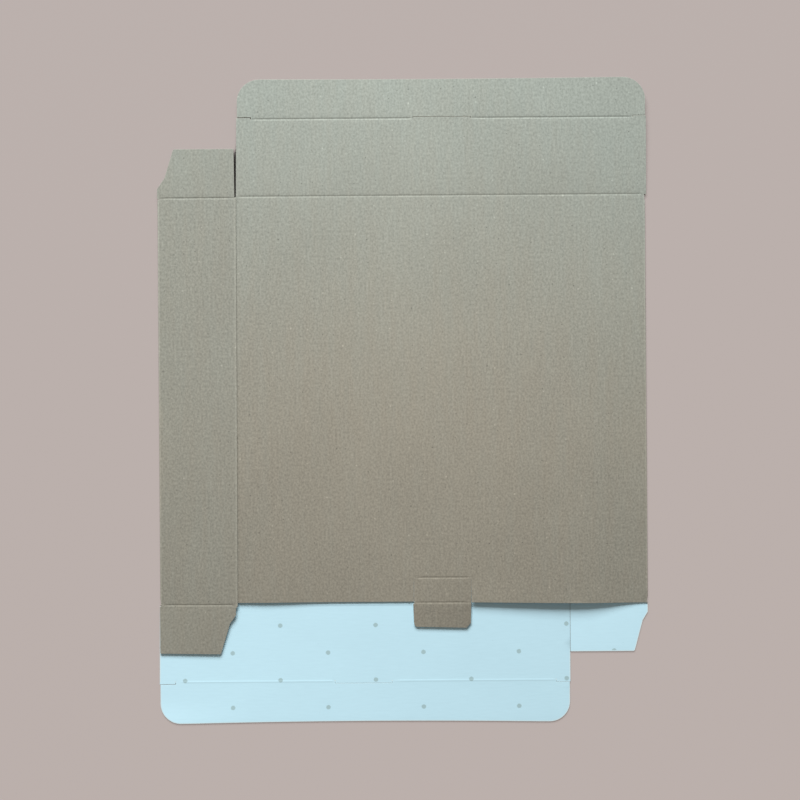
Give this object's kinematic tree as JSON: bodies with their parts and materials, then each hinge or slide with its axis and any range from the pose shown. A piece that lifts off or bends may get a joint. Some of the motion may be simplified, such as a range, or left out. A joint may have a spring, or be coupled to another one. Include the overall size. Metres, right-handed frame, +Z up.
{
  "type": "flat-packed carton box",
  "caption": "Shallow reverse-tuck carton of thin kraft board with a white dotted inside, pressed flat, its flaps lying open.",
  "frame": {"origin": "centre of the flat outline, on the surface that the flat carton lies on", "axes": "+Z up through the thickness, +Y towards the top closure along the carton's length, +X across the panels towards the folded edge of the face panel"},
  "size_m": [0.3162, 0.4146, 0.0043],
  "materials": {
    "board": "uncoated kraft-brown outside, matt white inside"
  },
  "bodies": {
    "sleeve": {"sleeve": "board"},
    "top_closure": {"top_closure": "board"},
    "top_tuck_flap": {"top_tuck_flap": "board"},
    "bottom_tuck_flap": {"bottom_tuck_flap": "board"},
    "left_dust_flap_top": {"left_dust_flap_top": "board"},
    "left_dust_flap_bottom": {"left_dust_flap_bottom": "board"},
    "right_dust_flap_bottom": {"right_dust_flap_bottom": "board"},
    "lock_tab": {"lock_tab": "board"},
    "lock_tab_tip": {"lock_tab_tip": "board"}
  },
  "joints": [
    {"name": "top_closure_crease", "type": "hinge", "parent": "sleeve", "child": "top_closure", "pos_m": [0, 0.1322, 0.0011], "axis": [1, 0, 0], "range_deg": [0, 110]},
    {"name": "top_tuck_crease", "type": "hinge", "parent": "top_closure", "child": "top_tuck_flap", "pos_m": [0, 0.1818, 0.00085], "axis": [1, 0, 0], "range_deg": [-90, 90]},
    {"name": "bottom_tuck_crease", "type": "hinge", "parent": "sleeve", "child": "bottom_tuck_flap", "pos_m": [0, -0.1806, 0.00025], "axis": [-1, 0, 0], "range_deg": [-90, 90]},
    {"name": "left_top_dust_crease", "type": "hinge", "parent": "sleeve", "child": "left_dust_flap_top", "pos_m": [-0.13, 0.1313, 0.00135], "axis": [1, 0, 0], "range_deg": [-90, 90]},
    {"name": "left_bottom_dust_crease", "type": "hinge", "parent": "sleeve", "child": "left_dust_flap_bottom", "pos_m": [-0.13, -0.1311, 0.0016], "axis": [-1, 0, 0], "range_deg": [0, 90]},
    {"name": "right_bottom_dust_crease", "type": "hinge", "parent": "sleeve", "child": "right_dust_flap_bottom", "pos_m": [0.13, -0.1311, 0.00025], "axis": [-1, 0, 0], "range_deg": [-90, 90]},
    {"name": "lock_tab_crease", "type": "hinge", "parent": "sleeve", "child": "lock_tab", "pos_m": [0.0248, -0.1146, 0.0011], "axis": [-1, 0, 0], "range_deg": [0, 90]},
    {"name": "lock_tab_tip_crease", "type": "hinge", "parent": "lock_tab", "child": "lock_tab_tip", "pos_m": [0.0248, -0.1305, 0.0011], "axis": [-1, 0, 0], "range_deg": [0, 90]}
  ]
}
